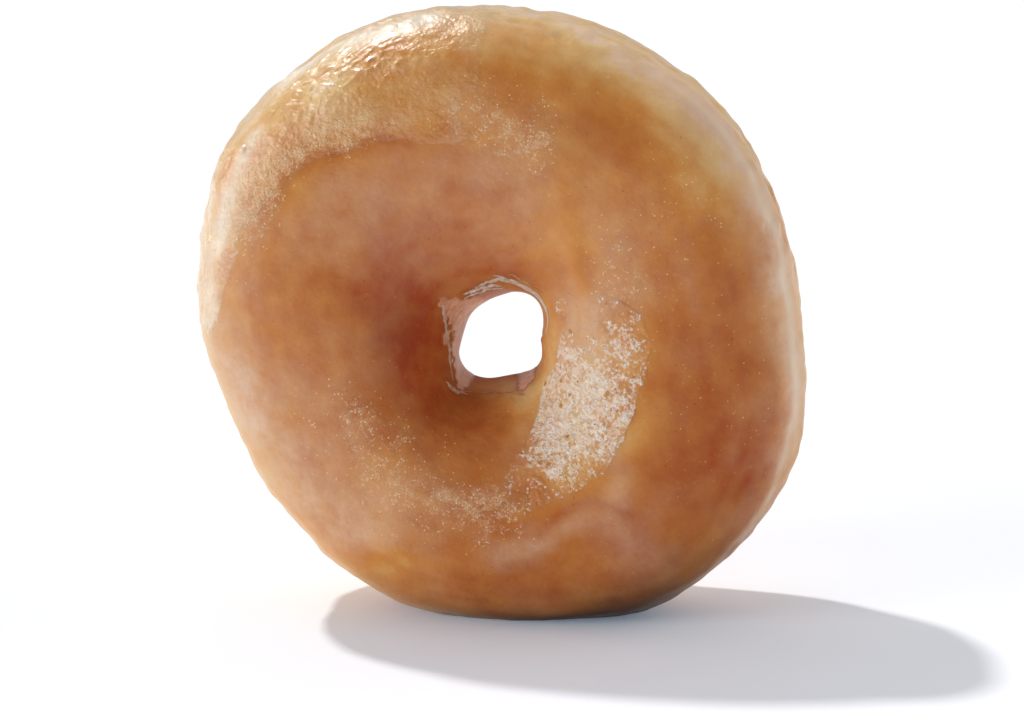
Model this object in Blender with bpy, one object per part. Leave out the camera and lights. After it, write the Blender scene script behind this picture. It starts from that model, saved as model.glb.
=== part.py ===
"""A glazed ring doughnut of yeast dough, standing on its outer edge.

Metres, +Z up. The ring's axis runs along Y and its front face looks towards -Y. The origin is on the
surface that the doughnut stands on, under the middle of its bounding box. The clock angle goes round the
ring in the XZ plane, from +X towards +Z: 0 is the right side and 90 the top, seen from the front. The
section angle goes round the cut of the ring: 0 is the outer rim, 90 the front, 180 the hole, 270 the back.
Both are in degrees in the values below, and in radians in the functions.
"""

import math

import bpy
from mathutils import Vector

# Driving dimensions
OUTER_RADIUS = 0.0453
HOLE_RADIUS = 0.0066
THICKNESS = 0.0315
REST_DEPTH = 0.0015

# The hole sits a little below the middle of the outline
HOLE_SHIFT = Vector((-0.0002, 0.0, -0.0033))

# Each lobe is a count round the ring, a height, and the clock angle where it peaks
OUTLINE_LOBES = (
    (2, 0.0022, 126),
    (3, 0.0002, 60),
    (4, 0.0006, 52),
    (5, 0.0003, 30),
)
HOLE_LOBES = (
    (2, 0.0006, 64),
    (3, 0.0003, 83),
    (4, 0.0004, 50),
)
THICKNESS_LOBES = (
    (1, 0.0012, 300),
    (2, 0.0007, 140),
)

# How much blunter than an ellipse the cut of the ring is, at the rim and at the hole
RIM_BLUNTNESS = 0.26
HOLE_BLUNTNESS = 0.08

# The pale proof line, a shallow waist round the rim that wanders from side to side
PROOF_LINE_DEPTH = 0.0007
PROOF_LINE_WIDTH = 11
PROOF_LINE_WANDER = 5
PROOF_LINE_TURNS = 3

# Swells and dents left by proofing and frying: clock angle, section angle, width, height
SWELLS = (
    (0, 92, 0.0100, 0.0008),
    (323, 92, 0.0090, 0.0008),
    (296, 88, 0.0090, 0.0006),
    (233, 106, 0.0100, 0.0005),
    (202, 138, 0.0060, -0.0007),
    (142, 66, 0.0100, 0.0008),
    (120, 68, 0.0110, 0.0006),
    (128, 94, 0.0110, -0.0007),
    (66, 62, 0.0100, -0.0007),
    (34, 66, 0.0110, 0.0006),
    (60, 288, 0.0120, 0.0008),
    (150, 264, 0.0110, -0.0007),
    (235, 296, 0.0120, 0.0007),
    (320, 268, 0.0100, -0.0007),
)

# Slow waves over the whole skin: height, wavelength, direction, phase in turns
SKIN_WAVES = (
    (0.00020, 0.0270, Vector((0.8, 0.5, 0.3)), 0.15),
    (0.00016, 0.0210, Vector((-0.4, 0.3, 0.9)), 0.60),
    (0.00012, 0.0160, Vector((0.5, -0.8, 0.4)), 0.35),
    (0.00010, 0.0125, Vector((0.7, 0.2, -0.7)), 0.80),
)

# Facets round the ring and round its cut
RING_STEPS = 128
CUT_STEPS = 36

CRUST_COLOUR = (0.52, 0.26, 0.09, 1.0)
CRUST_ROUGHNESS = 0.35


def lobes(clock, waves):
    """Sum of a few cosines round the ring."""
    return sum(height * math.cos(count * (clock - math.radians(peak))) for count, height, peak in waves)


def smooth_cut(section):
    """Outward and frontward shares, from -1 to 1, of a point on the cut of the ring."""
    side = math.cos(section)
    front = math.sin(section)
    bluntness = RIM_BLUNTNESS if side > 0 else HOLE_BLUNTNESS
    return side * (1 + bluntness * front**2), front


def proof_line(clock, section):
    """Depth of the waist at this place, as a soft valley in the section angle."""
    middle = math.radians(PROOF_LINE_WANDER) * math.sin(PROOF_LINE_TURNS * clock)
    away = math.remainder(section - middle, math.tau) / math.radians(PROOF_LINE_WIDTH)
    return PROOF_LINE_DEPTH * math.exp(-(away**2))


def smooth_point(clock, section):
    """Point of the ring before its swells and waves."""
    spoke = Vector((math.cos(clock), 0.0, math.sin(clock)))
    rim = spoke * (OUTER_RADIUS + lobes(clock, OUTLINE_LOBES))
    hole = HOLE_SHIFT + spoke * (HOLE_RADIUS + lobes(clock, HOLE_LOBES))
    outward, frontward = smooth_cut(section)
    half_thickness = (THICKNESS + lobes(clock, THICKNESS_LOBES)) / 2
    point = (rim + hole) / 2 + (rim - hole) / 2 * outward
    point.y = -half_thickness * frontward
    return point - spoke * proof_line(clock, section)


def swell_height(point):
    """Height of the placed swells and dents and of the slow waves at this point."""
    height = 0.0
    for clock, section, width, rise in SWELLS:
        centre = smooth_point(math.radians(clock), math.radians(section))
        height += rise * math.exp(-((point - centre).length / width) ** 2)
    for rise, wavelength, direction, phase in SKIN_WAVES:
        turns = direction.normalized().dot(point) / wavelength + phase
        height += rise * math.sin(math.tau * turns)
    return height


def skin_point(clock, section):
    """Point on the finished skin, raised from the smooth ring along the cut's outward direction."""
    point = smooth_point(clock, section)
    outward = Vector(
        (
            math.cos(section) * math.cos(clock),
            -math.sin(section),
            math.cos(section) * math.sin(clock),
        )
    )
    return point + outward * swell_height(point)


def settle(mesh):
    """Presses the lowest edge flat and puts the origin under the middle of the bounding box."""
    places = [vertex.co for vertex in mesh.vertices]
    floor = min(place.z for place in places) + REST_DEPTH
    middle_x = (min(place.x for place in places) + max(place.x for place in places)) / 2
    middle_y = (min(place.y for place in places) + max(place.y for place in places)) / 2
    for vertex in mesh.vertices:
        vertex.co.z = max(vertex.co.z, floor)
        vertex.co -= Vector((middle_x, middle_y, floor))


def crust_material():
    material = bpy.data.materials.new("glazed_crust")
    material.use_nodes = True
    shader = material.node_tree.nodes["Principled BSDF"]
    shader.inputs["Base Color"].default_value = CRUST_COLOUR
    shader.inputs["Roughness"].default_value = CRUST_ROUGHNESS
    shader.inputs["Metallic"].default_value = 0.0
    return material


def doughnut():
    """A torus primitive whose grid of vertices is carried onto the skin."""
    bpy.ops.mesh.primitive_torus_add(major_segments=RING_STEPS, minor_segments=CUT_STEPS)
    ring = bpy.context.object
    ring.name = "doughnut"
    mesh = ring.data
    for index, vertex in enumerate(mesh.vertices):
        clock = math.tau * (index // CUT_STEPS) / RING_STEPS
        section = math.tau * (index % CUT_STEPS) / CUT_STEPS
        vertex.co = skin_point(clock, section)
    settle(mesh)
    mesh.shade_smooth()
    mesh.materials.append(crust_material())
    return ring


for old in list(bpy.data.objects):
    bpy.data.objects.remove(old)

doughnut()
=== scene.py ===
# %% [markdown]
# # A glazed ring doughnut
#
# A ring of yeast dough is fried on one face and then on the other. Each face browns, and a pale line is left
# round the edge where the dough never met the hot fat. While it is warm it goes through a thin sugar glaze,
# which sets clear where it ran off, milky where it stayed thick, and frosty where the sugar turned to
# crystals.
#
# This lesson dresses a plain solid of that doughnut. The solid fixes its size and place, and everything here
# is laid over it: a fine skin, frosted sugar, a run of thick glaze and the torn dough in the hole.

# %% Load the solid
import math

import bpy
import numpy as np
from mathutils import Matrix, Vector


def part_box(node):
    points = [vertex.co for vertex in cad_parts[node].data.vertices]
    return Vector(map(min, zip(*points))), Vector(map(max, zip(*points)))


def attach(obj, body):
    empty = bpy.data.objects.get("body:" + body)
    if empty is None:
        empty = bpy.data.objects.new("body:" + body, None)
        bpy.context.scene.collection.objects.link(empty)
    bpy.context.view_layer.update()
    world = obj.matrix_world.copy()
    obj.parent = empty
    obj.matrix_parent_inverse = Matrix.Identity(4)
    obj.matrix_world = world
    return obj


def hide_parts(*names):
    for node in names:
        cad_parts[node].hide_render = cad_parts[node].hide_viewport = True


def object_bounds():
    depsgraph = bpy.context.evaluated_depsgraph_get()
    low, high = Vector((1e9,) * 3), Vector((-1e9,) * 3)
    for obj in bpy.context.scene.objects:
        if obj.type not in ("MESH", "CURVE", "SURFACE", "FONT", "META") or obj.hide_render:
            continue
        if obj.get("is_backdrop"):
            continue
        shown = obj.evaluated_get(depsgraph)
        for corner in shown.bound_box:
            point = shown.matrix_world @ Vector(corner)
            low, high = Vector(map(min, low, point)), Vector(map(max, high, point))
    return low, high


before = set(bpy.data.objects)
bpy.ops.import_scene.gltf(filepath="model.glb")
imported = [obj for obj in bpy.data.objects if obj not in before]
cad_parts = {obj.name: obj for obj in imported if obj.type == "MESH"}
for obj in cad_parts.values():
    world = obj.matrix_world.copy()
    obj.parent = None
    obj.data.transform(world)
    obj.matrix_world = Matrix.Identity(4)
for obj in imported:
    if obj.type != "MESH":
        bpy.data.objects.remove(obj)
cad_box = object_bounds()
low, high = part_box("doughnut")
print("the solid measures", [round(1000 * side, 1) for side in high - low], "mm")

# %% [markdown]
# ## Where things are on a ring
#
# Two angles name every place on a doughnut. The clock angle goes round the ring: 0 is the right side and 90
# the top, seen from the front. The section angle goes round the dough itself: 0 is the outer rim, 90 the
# front, 180 the wall of the hole and 270 the back. Sculpting by hand would work too, but two angles let a
# formula place a dent, a brown patch or a run of glaze, and each can be moved by changing one number.

# %% Sizes of the ring
MM = 0.001
TURN = 2 * math.pi
DEGREE = TURN / 360
OUTER_RADIUS = 45.3 * MM
HOLE_RADIUS = 6.6 * MM
THICKNESS = 31.5 * MM
REST_DEPTH = 1.5 * MM
HOLE_SHIFT = np.array([-0.2, 0.0, -3.3]) * MM
RIM_BLUNTNESS = 0.26
HOLE_BLUNTNESS = 0.08
WAIST_DEPTH = 0.7 * MM
WAIST_WIDTH = 11 * DEGREE
WAIST_WANDER = 5 * DEGREE
WAIST_TURNS = 3
# Each lobe is a count round the ring, a height in mm and the clock angle where it peaks
OUTLINE_LOBES = ((2, 2.2, 126), (3, 0.2, 60), (4, 0.6, 52), (5, 0.3, 30))
HOLE_LOBES = ((2, 0.6, 64), (3, 0.3, 83), (4, 0.4, 50))
THICKNESS_LOBES = ((1, 1.2, 300), (2, 0.7, 140))
# Each swell is a clock angle, a section angle, a width and a height in mm
SWELLS = (
    (0, 92, 10, 0.8), (323, 92, 9, 0.8), (296, 88, 9, 0.6), (233, 106, 10, 0.5), (202, 138, 6, -0.7),
    (142, 66, 10, 0.8), (120, 68, 11, 0.6), (128, 94, 11, -0.7), (66, 62, 10, -0.7), (34, 66, 11, 0.6),
    (60, 288, 12, 0.8), (150, 264, 11, -0.7), (235, 296, 12, 0.7), (320, 268, 10, -0.7),
)
# Each slow wave is a height and a wavelength in mm, a direction and a phase in turns
SKIN_WAVES = (
    (0.20, 27.0, (0.8, 0.5, 0.3), 0.15),
    (0.16, 21.0, (-0.4, 0.3, 0.9), 0.60),
    (0.12, 16.0, (0.5, -0.8, 0.4), 0.35),
    (0.10, 12.5, (0.7, 0.2, -0.7), 0.80),
)
print("the ring is about", round(2 * OUTER_RADIUS / MM, 1), "mm across before it settles")

# %% [markdown]
# ## The form of the ring
#
# The form is the one that the solid has, worked out here for whole arrays of angles at once. A cut through
# the dough is an ellipse with blunter ends. It is stretched between the outline and the hole, both of which
# are circles with a few slow lobes, and then swells, dents and slow waves push the skin in and out.


# %% The smooth ring
def lobes(clock, waves):
    """A sum of cosines round the ring, in metres: height times cos(count times the angle from the peak)."""
    return MM * sum(height * np.cos(count * (clock - peak * DEGREE)) for count, height, peak in waves)


def angle_from(angle, middle):
    """The signed angle from the middle, between minus half a turn and half a turn."""
    return (angle - middle + math.pi) % TURN - math.pi


def bell(angle, middle, spread):
    """1 at the middle, and exp(-(distance / spread) squared) away from it."""
    return np.exp(-((angle_from(angle, middle) / spread) ** 2))


def smooth_ring(clock, section):
    """Points halfway between outline and hole, plus half their distance times a blunted cos(section), less
    the pale line's groove: a bell over the section angle, whose middle wanders sideways."""
    spoke = np.stack([np.cos(clock), np.zeros_like(clock), np.sin(clock)], axis=-1)
    outline = spoke * (OUTER_RADIUS + lobes(clock, OUTLINE_LOBES))[..., None]
    hole = HOLE_SHIFT + spoke * (HOLE_RADIUS + lobes(clock, HOLE_LOBES))[..., None]
    side = np.cos(section)
    front = np.sin(section)
    bluntness = np.where(side > 0, RIM_BLUNTNESS, HOLE_BLUNTNESS)
    outward = (side * (1 + bluntness * front**2))[..., None]
    points = (outline + hole) / 2 + (outline - hole) / 2 * outward
    points[..., 1] = -(THICKNESS + lobes(clock, THICKNESS_LOBES)) / 2 * front
    waist = WAIST_DEPTH * bell(section, WAIST_WANDER * np.sin(WAIST_TURNS * clock), WAIST_WIDTH)
    return points - spoke * waist[..., None]


# %% Swells and waves
def place_on(form, clock, section):
    """One point of a form, at two angles given in degrees."""
    return form(np.radians([float(clock)]), np.radians([float(section)]))[0]


def swell_height(points):
    """Bell-shaped swells round their own places, plus plane waves along fixed directions, in metres."""
    height = np.zeros(points.shape[:-1])
    for clock, section, width, rise in SWELLS:
        distance = np.linalg.norm(points - place_on(smooth_ring, clock, section), axis=-1)
        height += rise * MM * np.exp(-((distance / (width * MM)) ** 2))
    for rise, wavelength, direction, phase in SKIN_WAVES:
        unit = np.array(direction) / np.linalg.norm(direction)
        height += rise * MM * np.sin(TURN * (points @ unit / (wavelength * MM) + phase))
    return height


def ring_form(clock, section):
    """The smooth ring, raised by its swells along the direction that the cut faces."""
    points = smooth_ring(clock, section)
    facing = [np.cos(section) * np.cos(clock), -np.sin(section), np.cos(section) * np.sin(clock)]
    return points + np.stack(facing, axis=-1) * swell_height(points)[..., None]


width = place_on(ring_form, 0, 0)[0] - place_on(ring_form, 180, 0)[0]
print("through its middle the form is", round(float(width) / MM, 1), "mm wide")

# %% [markdown]
# ## Setting it down
#
# The doughnut's own weight presses its lowest edge flat. The formula's ring is lowered by the same amount as
# the solid was, and whatever would go below the floor is lifted to it.


# %% Where the ring stands
def whole_ring(rows, columns):
    """Clock and section angles of a grid that goes all the way round both ways."""
    angles = [np.linspace(0, TURN, count, endpoint=False) for count in (rows, columns)]
    return np.meshgrid(*angles, indexing="ij")


survey_angles = whole_ring(256, 72)
survey = ring_form(*survey_angles)
lowest = survey.min(axis=(0, 1))
STAND = (lowest + survey.max(axis=(0, 1))) / 2
STAND[2] = lowest[2] + REST_DEPTH
print("the ring is moved by", np.round(-STAND / MM, 2), "mm to stand on the floor")

# %% [markdown]
# ## Uneven skin
#
# Real dough is never as smooth as a formula. Value noise gives it small random swells: every corner of a
# grid of cubes gets a random number, and the numbers are blended by a smooth step inside each cube.
# Blender's own Displace modifier could do this, but working it out here lets the same noise also steer
# colour and glaze.


# %% Noise
NOISE_CELLS = 64


def noise(points, size, seed):
    """Smooth random values from -1 to 1: random corner values of cubes of this size, blended smoothly."""
    generator = np.random.default_rng(seed)
    corner_values = generator.uniform(-1, 1, (NOISE_CELLS,) * 3)
    tilt = np.linalg.qr(generator.normal(size=(3, 3)))[0]
    cells = points @ tilt / size + generator.uniform(0, NOISE_CELLS, 3)
    corner = np.floor(cells).astype(int)
    part = cells - corner
    part = part**3 * (part * (part * 6 - 15) + 10)
    value = np.zeros(points.shape[:-1])
    for step in np.ndindex(2, 2, 2):
        share = np.prod(np.where(np.array(step) == 1, part, 1 - part), axis=-1)
        x, y, z = np.moveaxis((corner + step) % NOISE_CELLS, -1, 0)
        value += share * corner_values[x, y, z]
    return value


def smooth_step(value, start, end):
    """0 up to start, 1 from end on, and an S-shaped rise between."""
    share = np.clip((value - start) / (end - start), 0, 1)
    return share**2 * (3 - 2 * share)


print("noise on the ring spreads by", round(float(noise(survey, 4 * MM, 1).std()), 2), "about its mean")

# %% [markdown]
# ## Patches and strokes
#
# Most of what makes this doughnut itself is a patch of something: a darker brown, a milky film, a frosted
# slope. A patch is a soft oval with a place, a length along the ring and a width across it, in mm. Long thin
# things, such as a smear, are strokes: soft lines drawn through a few places. Painting by hand in Texture
# Paint would need an image, while patches and strokes stay a few numbers each.

# %% Patches and strokes on the ring
# A patch is a row of clock angle, section angle, length along the ring, width across it and strength
# A stroke is a row of width, strength and path. Angles are in degrees, sizes in mm, strengths in per cent
CUT_RADIUS = 17.5 * MM
FRAY_SIZE = 4.0 * MM
FRAY = 1.3 * MM


def mm_from(clock, section, middle_clock, middle_section):
    """Distances in mm along the ring and round the cut, from a place given in degrees."""
    place = place_on(smooth_ring, middle_clock, middle_section)
    along = angle_from(clock, middle_clock * DEGREE) * np.hypot(place[0], place[2]) / MM
    across = angle_from(section, middle_section * DEGREE) * CUT_RADIUS / MM
    return along, across


def stroke(points, path, width):
    """Exp(-(distance/width) squared), the distance measured to a line through places of the form."""
    corners = ring_form(*np.radians(np.array(path, float).T))
    nearest = np.full(points.shape[:-1], np.inf)
    for start, end in zip(corners[:-1], corners[1:]):
        side = end - start
        share = np.clip((points - start) @ side / (side @ side), 0, 1)
        nearest = np.minimum(nearest, np.linalg.norm(points - start - share[..., None] * side, axis=-1))
    return np.exp(-((nearest / (width * MM)) ** 2))


def mean_of(values):
    """The mean of an array, to two digits."""
    return round(float(values.mean()), 2)


# %% Places on the ring
class Places:
    """Angles and points, with small random shifts that make the edges of patches and strokes ragged."""

    def __init__(self, clock, section, points):
        self.clock = clock
        self.section = section
        self.points = points
        self.from_rim = np.abs(angle_from(section, 0))
        self.fray = np.stack([FRAY * noise(points, FRAY_SIZE, 70 + axis) for axis in range(3)])

    def noise(self, size, seed):
        """Noise with features of this size in mm."""
        return noise(self.points, size * MM, seed)

    def patches(self, table):
        """Sum of strength times exp(-distance squared), each distance counted in the oval's own sizes."""
        total = np.zeros(self.clock.shape)
        for middle_clock, middle_section, length, width, percent in table:
            along, across = mm_from(self.clock, self.section, middle_clock, middle_section)
            along = (along + self.fray[0] / MM) / length
            across = (across + self.fray[1] / MM) / width
            total += percent / 100 * np.exp(-(along**2 + across**2))
        return total

    def strokes(self, table):
        """Sum of the strokes, each times its strength."""
        frayed = self.points + 0.5 * np.moveaxis(self.fray, 0, -1)
        return sum(percent / 100 * stroke(frayed, path, width) for width, percent, path in table)


survey_places = Places(*survey_angles, survey)
print("edges are frayed by up to", round(float(np.abs(survey_places.fray).max()) / MM, 2), "mm")

# %% [markdown]
# ## Fine relief
#
# Over the slow swells lie ripples of a few millimetres, a fine wobble round the outer rim, a crease at the
# top and a few raised or sunk lines. The left of the rim is scalloped, and the wobble is weak where it
# rests. A bump in the material would be cheaper, but only real relief shows in the outline.

# %% Relief of the skin
# Each ripple is a size and a height in mm
RIPPLES = ((9.0, 0.18), (4.6, 0.07), (2.4, 0.035))
# The rim's wobble and scallops have a size in mm, a height, and the angles where they are strong or calm
RIM_WOBBLE_SIZE = 2.0
RIM_WOBBLE = 0.26 * MM
RIM_WOBBLE_WIDTH = 45 * DEGREE
CALM_CLOCK = 280 * DEGREE
CALM_SPREAD = 36 * DEGREE
SCALLOPS_CLOCK = 170 * DEGREE
SCALLOPS_SPREAD = 24 * DEGREE
SCALLOPS_SIZE = 2.6
SCALLOPS_HEIGHT = 0.28 * MM
# Each line is a width in mm, a height in hundredths of a mm and the places that it goes through
RELIEF_LINES = (
    (0.7, -45, ((91, 22), (88, 27), (85, 28), (81, 31), (77, 33))),
    (1.6, 20, ((92, 15), (88, 20), (84, 21), (80, 23))),
    (1.5, 20, ((68, 92), (60, 100), (54, 110), (38, 119))),
    (1.6, 16, ((272, 79), (284, 86), (297, 94), (305, 92), (308, 86), (305, 75), (300, 60))),
    (1.4, 12, ((321, 104), (318, 97), (312, 92))), (1.2, -18, ((150, 292), (163, 284), (178, 279))),
    (1.5, 18, ((30, 262), (48, 268), (66, 266), (80, 258))),
    (2.4, -60, ((62, 168), (46, 172), (30, 176), (12, 178), (356, 178))), (0.8, 30, ((3, 176), (358, 178))),
)


def relief(at):
    """Height of the skin over the form: ripples of three sizes, the rim's wobble and the lines."""
    height = np.zeros(at.clock.shape)
    for index, (size, rise) in enumerate(RIPPLES):
        height += rise * MM * at.noise(size, 10 + index)
    rim = bell(at.section, 0, RIM_WOBBLE_WIDTH)
    calm = 1 - 0.8 * bell(at.clock, CALM_CLOCK, CALM_SPREAD)
    height += RIM_WOBBLE * rim * calm * at.noise(RIM_WOBBLE_SIZE, 20)
    scalloped = bell(at.clock, SCALLOPS_CLOCK, SCALLOPS_SPREAD)
    height += SCALLOPS_HEIGHT * rim * scalloped * at.noise(SCALLOPS_SIZE, 21)
    return height + MM * at.strokes(RELIEF_LINES)


print("fine relief moves the skin by about", round(float(relief(survey_places).std()) / MM, 2), "mm")

# %% [markdown]
# ## The skin as one function
#
# Everything that lies on the doughnut has to know where its skin is and which way it faces, so both come
# from one function of the two angles. The direction comes from stepping a little way along each angle and
# taking the cross product of the two steps.

# %% Skin function
ANGLE_STEP = 0.004


def skin(clock, section):
    """Points of the finished skin and their outward directions."""
    base = ring_form(clock, section)
    along = ring_form(clock + ANGLE_STEP, section) - ring_form(clock - ANGLE_STEP, section)
    across = ring_form(clock, section + ANGLE_STEP) - ring_form(clock, section - ANGLE_STEP)
    outward = np.cross(along, across)
    outward /= np.linalg.norm(outward, axis=-1, keepdims=True)
    return base + outward * relief(Places(clock, section, base))[..., None], outward


def stand(points):
    """Moves points from the ring's own centre to the floor, and lifts what would be below it."""
    placed = points - STAND
    placed[..., 2] = np.maximum(placed[..., 2], 0)
    return placed


top, _ = skin(np.array([90 * DEGREE]), np.array([0.0]))
print("the top of the skin is", round(float(stand(top)[0, 2]) / MM, 1), "mm above the floor")

# %% [markdown]
# ## How brown
#
# Each finish is a number from 0 to 1 at every place. Browning is low on the pale band that ran round the rim
# at the fat's surface, and high on both faces. Its patches are where one place met more heat than the next.
# Their places come from looking at the photo, and their ragged edges from noise.

# %% Brown and pale patches
# Browning by the angle away from the middle of the rim, in degrees
FACE_BROWNING = (
    (0, 0.06), (24, 0.12), (32, 0.20), (42, 0.36), (55, 0.52),
    (70, 0.64), (90, 0.70), (110, 0.76), (130, 0.85),
)
BROWN_PATCHES = (
    (61, 64, 8, 5, 8), (318, 62, 10, 6, 8), (12, 6, 22, 5, 34), (152, 35, 7, 3, 10), (4, 62, 10, 5, 6),
    (138, 112, 6, 5, 5), (256, 6, 22, 9, 40), (290, 6, 20, 9, 50), (318, 6, 14, 8, 34), (298, 50, 9, 5, 10),
    (278, 62, 12, 5, 14), (0, 72, 14, 9, 12), (336, 62, 16, 9, 14), (338, 42, 12, 5, 28),
    (18, 44, 8, 4, 14), (156, 114, 8, 5, 10), (304, 78, 4, 4, 14), (256, 54, 8, 4, 10),
    (168, 132, 6, 6, 12), (216, 148, 5, 7, 8), (50, 300, 16, 10, 10), (260, 290, 16, 9, 10),
)
PALE_PATCHES = (
    (110, 66, 7, 4, 16), (124, 53, 5, 3, 14), (80, 62, 34, 14, 5), (176, 44, 18, 6, 2), (222, 58, 16, 6, 6),
    (232, 96, 8, 6, 18), (176, 96, 8, 8, 8), (66, 38, 14, 4, 4), (14, 46, 16, 4, 6), (48, 58, 8, 4, 10),
    (42, 45, 9, 5, 12), (60, 108, 6, 6, 24), (128, 60, 12, 5, 8), (140, 46, 12, 5, 7), (8, 96, 7, 3, 10),
    (345, 100, 8, 3, 8), (350, 126, 12, 7, 30), (310, 126, 9, 8, 36), (294, 167, 10, 4, 30),
    (322, 156, 13, 4, 30), (268, 172, 7, 4, 36), (6, 126, 8, 7, 22), (20, 152, 9, 4, 26),
    (256, 118, 5, 4, 12), (76, 127, 5, 4, 6), (88, 80, 6, 4, 10), (124, 50, 8, 4, 4), (245, 62, 3, 2.6, 23),
    (30, 320, 20, 5, 12), (200, 318, 24, 6, 12), (80, 240, 10, 6, 20), (330, 236, 10, 6, 20),
)
# The first stroke is a painted shadow along the foot of the shoulder glaze's drip edge; the second is a
# brown line
BROWN_AND_SHADE_STROKES = (
    (0.9, 22, ((150, 64), (142, 66), (136, 68), (130, 71), (124, 73), (118, 75), (112, 79))),
    (0.7, 16, ((284, 90), (290, 92), (296, 95), (303, 96), (308, 92), (310, 86))),
)
# Painted shade, darker along the bottom where the ring meets the floor and deep in the left side of the hole
PAINTED_SHADE_PATCHES = (
    (286, 32, 20, 6, 62), (292, 16, 24, 8, 67), (302, 50, 8, 4, 30), (262, 42, 12, 4, 16),
    (316, 40, 8, 5, 14), (166, 130, 5, 6, 15),
)
print(len(BROWN_PATCHES), "brown and", len(PALE_PATCHES), "pale patches")

# %% [markdown]
# The patches change the browning of the face that they lie on. Fine streaks run along the ring, because the
# dough was stretched that way, so their noise is 5 mm long and only 1.3 mm wide.


# %% Browning
def streaks(at, seed):
    """Noise whose features are 5 mm long round the ring and 1.3 mm wide across it."""
    across = at.from_rim * CUT_RADIUS / (1.3 * MM)
    return noise(np.stack([6 * np.cos(at.clock), 6 * np.sin(at.clock), across], axis=-1), 1.0, seed)


def browning(at):
    """The face's browning by the angle away from the rim, changed by its patches and a little by noise."""
    degrees, levels = np.array(FACE_BROWNING).T
    wander = 5 * DEGREE * at.noise(7, 31) + 2 * DEGREE * at.noise(2.5, 32)
    value = np.interp(np.degrees(at.from_rim + wander), degrees, levels)
    value += at.patches(BROWN_PATCHES)
    value -= at.patches(PALE_PATCHES)
    # brown strokes, one of them a painted shadow below the drip edge
    value += at.strokes(BROWN_AND_SHADE_STROKES)
    value += 0.06 * at.noise(6, 33) + 0.04 * at.noise(2.2, 34)
    return value + 0.07 * streaks(at, 36)


print("mean browning", mean_of(browning(survey_places)))

# %% [markdown]
# ## How milky
#
# Glaze that stayed a little thick sets to a milky film, which lightens the crust and hides its grain. Clear
# strokes wipe it away where the glaze ran off, as in the valley below the drip edge. Along the upper left
# rim one stroke of it is partly real white glaze and partly a painted sheen.

# %% Milky patches and clear strokes
THIN_FILM = 0.02
MILKY_PATCHES = (
    (132, 84, 10, 7, 28), (122, 122, 6, 5, 10), (124, 54, 5, 3, 14), (66, 102, 7, 6, 12),
    (176, 86, 12, 9, 5), (160, 101, 4, 4, -16), (200, 58, 16, 8, 30), (218, 54, 14, 8, 26),
    (182, 42, 20, 6, 42), (155, 36, 8, 4, 16), (236, 62, 7, 5, 26), (224, 90, 9, 6, 18),
    (252, 88, 9, 5, 12), (45, 90, 6, 5, 10), (30, 98, 5, 4, 20), (92, 90, 8, 8, 26), (96, 31, 8, 4, 12),
    (338, 44, 12, 5, 4), (20, 40, 14, 4, 24), (338, 42, 6, 4, -10), (20, 32, 22, 5, 60),
    (348, 31, 16, 5, 50), (344, 29, 6, 2.4, 20), (7, 28, 5, 3, -22), (305, 74, 4, 6, 24),
    (48, 25, 12, 4, 80), (190, 46, 8, 5, 12), (24, 128, 5, 6, 34), (80, 280, 16, 9, 24),
    (190, 284, 16, 9, 26), (290, 272, 14, 9, 22), (240, 310, 16, 8, 24),
)
MILK_AND_SHEEN_STROKES = (
    # The first stroke, along the upper left rim, is partly white glaze and partly a painted sheen
    (2, 80, ((131, 24), (124, 16), (118, 20), (114, 27), (108, 27), (103, 26))),
    (1.4, 55, ((140, 42), (145, 46), (151, 48), (157, 47), (163, 45))),
    (1.9, 30, ((272, 80), (280, 83), (289, 87), (296, 89))),
    (4, 34, ((302, 128), (315, 134), (330, 136), (345, 132), (0, 128), (12, 124))),
    (1.5, 12, ((300, 90), (306, 85), (305, 76))), (1.7, 30, ((322, 105), (318, 98), (311, 92))),
    (1.6, 34, ((30, 262), (48, 268), (66, 266), (80, 258))),
)
CLEAR_STROKES = (
    (2.2, 62, ((146, 66), (138, 68), (132, 71), (123, 74), (114, 77), (104, 79))),
    (1.8, 50, ((116, 61), (111, 65), (106, 73), (103, 75))),
    (1.8, 60, ((135, 42), (132, 44), (126, 50), (120, 55), (114, 58))),
    (1.5, 60, ((144, 36), (150, 38), (155, 34), (162, 30))),
    (2.4, 35, ((150, 55), (142, 58), (134, 61), (126, 65))),
    (2.6, 40, ((96, 58), (81, 56), (72, 54), (64, 58), (56, 64), (48, 68), (40, 70))),
    (1.7, 60, ((12, 95), (2, 97), (344, 100), (332, 98))),
    (1.2, 60, ((54, 148), (30, 158), (5, 163), (318, 162), (300, 150))),
    (1.4, 50, ((68, 92), (60, 100), (54, 110), (38, 119))), (2.6, 100, ((247, 67), (244, 62), (242, 58))),
    (3, 30, ((20, 62), (8, 62), (354, 60))),
)
# The left wall of the hole has hardly any film
BARE_PATCHES = (
    (190, 146, 14, 8, 90), (235, 136, 8, 7, 80),
)


# %% Milky film
def milky_film(at):
    """Patches and smears of milky glaze, one of them partly a painted sheen, over a thin uneven film, wiped
    away by the clear strokes.
    """
    value = THIN_FILM + 0.07 * at.noise(5, 52) + 0.03 * at.noise(1.8, 53)
    value += 0.06 * streaks(at, 55)
    value += at.patches(MILKY_PATCHES) * (1 + 0.35 * at.noise(3.5, 54))
    value += at.strokes(MILK_AND_SHEEN_STROKES)
    value *= 1 - np.clip(at.strokes(CLEAR_STROKES) * 1.6, 0, 1)
    return value * (1 - at.patches(BARE_PATCHES))


print("mean milky film", mean_of(milky_film(survey_places)))

# %% [markdown]
# ## How frosty and how wet
#
# Where the film turned to crystals it is frosty, mostly on slopes. Where it ran together it is a clear wet
# coat: thin on the faces, thicker where it ran off the rim, and none deep in the hole.

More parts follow.
